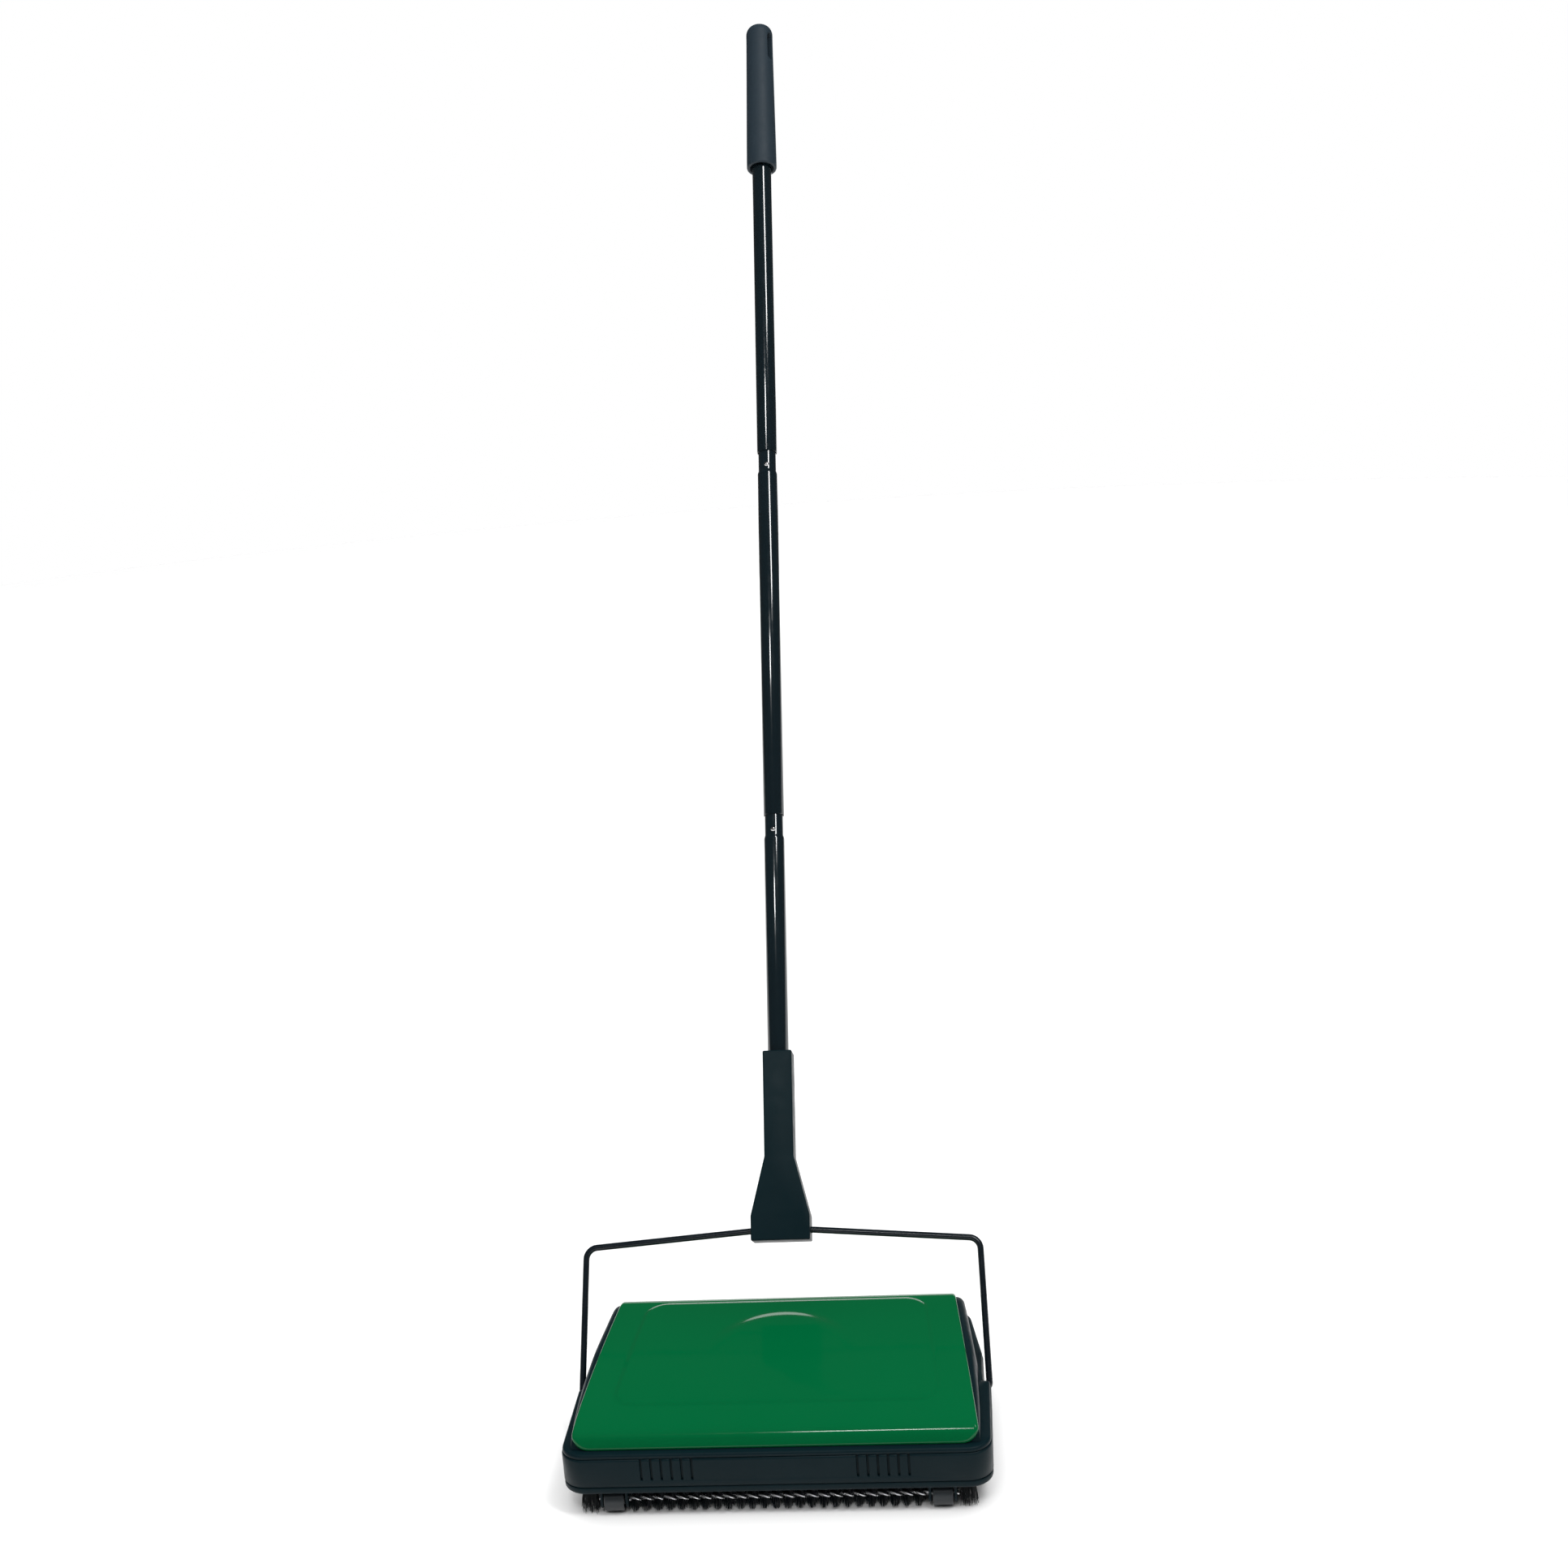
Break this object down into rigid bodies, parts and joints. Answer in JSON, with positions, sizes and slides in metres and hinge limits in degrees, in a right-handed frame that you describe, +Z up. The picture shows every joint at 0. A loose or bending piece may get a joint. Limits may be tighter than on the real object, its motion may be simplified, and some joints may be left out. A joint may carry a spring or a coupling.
{
  "type": "carpet sweeper",
  "caption": "Manual carpet sweeper: low black base under a domed green cover, with spiral brushes, wheels and tipping dust pans, pushed by a tube handle on a wire bail.",
  "frame": {"origin": "on the floor directly under the bail pivot, midway between the two sides", "axes": "+X to the right side of the sweeper, +Y to its back, the way the handle leans, +Z up"},
  "size_m": [0.2822, 0.6619, 0.9444],
  "materials": {
    "black_plastic": "satin moulded, fine grain",
    "green_plastic": "polished moulded gloss",
    "screw_steel": "zinc plated",
    "black_wire": "black enamel, semi-gloss",
    "black_tube": "black gloss paint",
    "grip_plastic": "soft matte, fine grain",
    "button_steel": "bright",
    "pan_plastic": "matte",
    "pin_steel": "bright drawn",
    "bush_plastic": "matte",
    "core_steel": "galvanised twisted wire",
    "bristle": "nylon bristle",
    "pulley_plastic": "matte",
    "hub_plastic": "matte",
    "tyre_rubber": "soft rubber"
  },
  "bodies": {
    "base": {"base_frame": "black_plastic", "top_deck": "black_plastic", "dome_cover": "green_plastic", "deck_screws": "screw_steel", "pivot_bush_left": "bush_plastic", "pivot_bush_right": "bush_plastic", "front_pan_pin": "pin_steel", "rear_pan_pin": "pin_steel", "front_pan_spring": "pin_steel", "rear_pan_spring": "pin_steel", "left_inner_rail": "black_plastic", "left_outer_rail": "black_plastic", "right_inner_rail": "black_plastic", "right_outer_rail": "black_plastic", "front_left_axle": "pin_steel", "front_left_tuft_block": "bush_plastic", "front_left_tuft": "bristle", "front_right_axle": "pin_steel", "front_right_tuft_block": "bush_plastic", "front_right_tuft": "bristle", "rear_left_axle": "pin_steel", "rear_left_tuft_block": "bush_plastic", "rear_left_tuft": "bristle", "rear_right_axle": "pin_steel", "rear_right_tuft_block": "bush_plastic", "rear_right_tuft": "bristle"},
    "handle": {"bail_wire": "black_wire", "handle_socket": "black_plastic", "socket_screw": "screw_steel", "lower_tube": "black_tube", "middle_tube": "black_tube", "upper_tube": "black_tube", "grip": "grip_plastic"},
    "lower_button": {"lower_button": "button_steel"},
    "upper_button": {"upper_button": "button_steel"},
    "front_pan": {"front_pan": "pan_plastic"},
    "rear_pan": {"rear_pan": "pan_plastic"},
    "front_brush": {"front_brush_core": "core_steel", "front_brush_bristles": "bristle", "front_left_pulley": "pulley_plastic", "front_right_pulley": "pulley_plastic"},
    "rear_brush": {"rear_brush_core": "core_steel", "rear_brush_bristles": "bristle", "rear_left_pulley": "pulley_plastic", "rear_right_pulley": "pulley_plastic"},
    "front_left_wheel": {"front_left_hub": "hub_plastic", "front_left_tyre": "tyre_rubber"},
    "front_right_wheel": {"front_right_hub": "hub_plastic", "front_right_tyre": "tyre_rubber"},
    "rear_left_wheel": {"rear_left_hub": "hub_plastic", "rear_left_tyre": "tyre_rubber"},
    "rear_right_wheel": {"rear_right_hub": "hub_plastic", "rear_right_tyre": "tyre_rubber"}
  },
  "joints": [
    {"name": "handle_swing", "type": "hinge", "parent": "base", "child": "handle", "pos_m": [0, 0, 0.036], "axis": [1, 0, 0], "range_deg": [-56, 47]},
    {"name": "lower_button_press", "type": "slide", "parent": "handle", "child": "lower_button", "axis": [0, 0.848, -0.5299], "range_m": [0, 0.0012], "stiffness_N_per_m": 600, "springref_m": -0.002},
    {"name": "upper_button_press", "type": "slide", "parent": "handle", "child": "upper_button", "axis": [0, 0.848, -0.5299], "range_m": [0, 0.0012], "stiffness_N_per_m": 600, "springref_m": -0.002},
    {"name": "front_pan_tip", "type": "hinge", "parent": "base", "child": "front_pan", "pos_m": [0, -0.0065, 0.0133], "axis": [1, 0, 0], "range_deg": [0, 55], "stiffness_Nm_per_rad": 0.03, "springref_deg": -57.3},
    {"name": "rear_pan_tip", "type": "hinge", "parent": "base", "child": "rear_pan", "pos_m": [0, 0.0065, 0.0133], "axis": [-1, 0, 0], "range_deg": [0, 55], "stiffness_Nm_per_rad": 0.03, "springref_deg": -57.3},
    {"name": "front_brush_spin", "type": "hinge", "parent": "base", "child": "front_brush", "pos_m": [0, -0.0798, 0.0091], "axis": [1, 0, 0], "continuous": true},
    {"name": "front_left_wheel_spin", "type": "hinge", "parent": "base", "child": "front_left_wheel", "pos_m": [0, -0.05368, 0.02], "axis": [1, 0, 0], "continuous": true},
    {"name": "front_right_wheel_spin", "type": "hinge", "parent": "base", "child": "front_right_wheel", "pos_m": [0, -0.05368, 0.02], "axis": [1, 0, 0], "continuous": true},
    {"name": "rear_brush_spin", "type": "hinge", "parent": "base", "child": "rear_brush", "pos_m": [0, 0.0798, 0.0091], "axis": [1, 0, 0], "continuous": true},
    {"name": "rear_left_wheel_spin", "type": "hinge", "parent": "base", "child": "rear_left_wheel", "pos_m": [0, 0.05368, 0.02], "axis": [1, 0, 0], "continuous": true},
    {"name": "rear_right_wheel_spin", "type": "hinge", "parent": "base", "child": "rear_right_wheel", "pos_m": [0, 0.05368, 0.02], "axis": [1, 0, 0], "continuous": true}
  ],
  "couplings": [
    {"joint": "front_left_wheel_spin", "follows": "front_brush_spin", "ratio": -0.4},
    {"joint": "front_right_wheel_spin", "follows": "front_brush_spin", "ratio": -0.4},
    {"joint": "rear_left_wheel_spin", "follows": "rear_brush_spin", "ratio": -0.4},
    {"joint": "rear_right_wheel_spin", "follows": "rear_brush_spin", "ratio": -0.4}
  ]
}
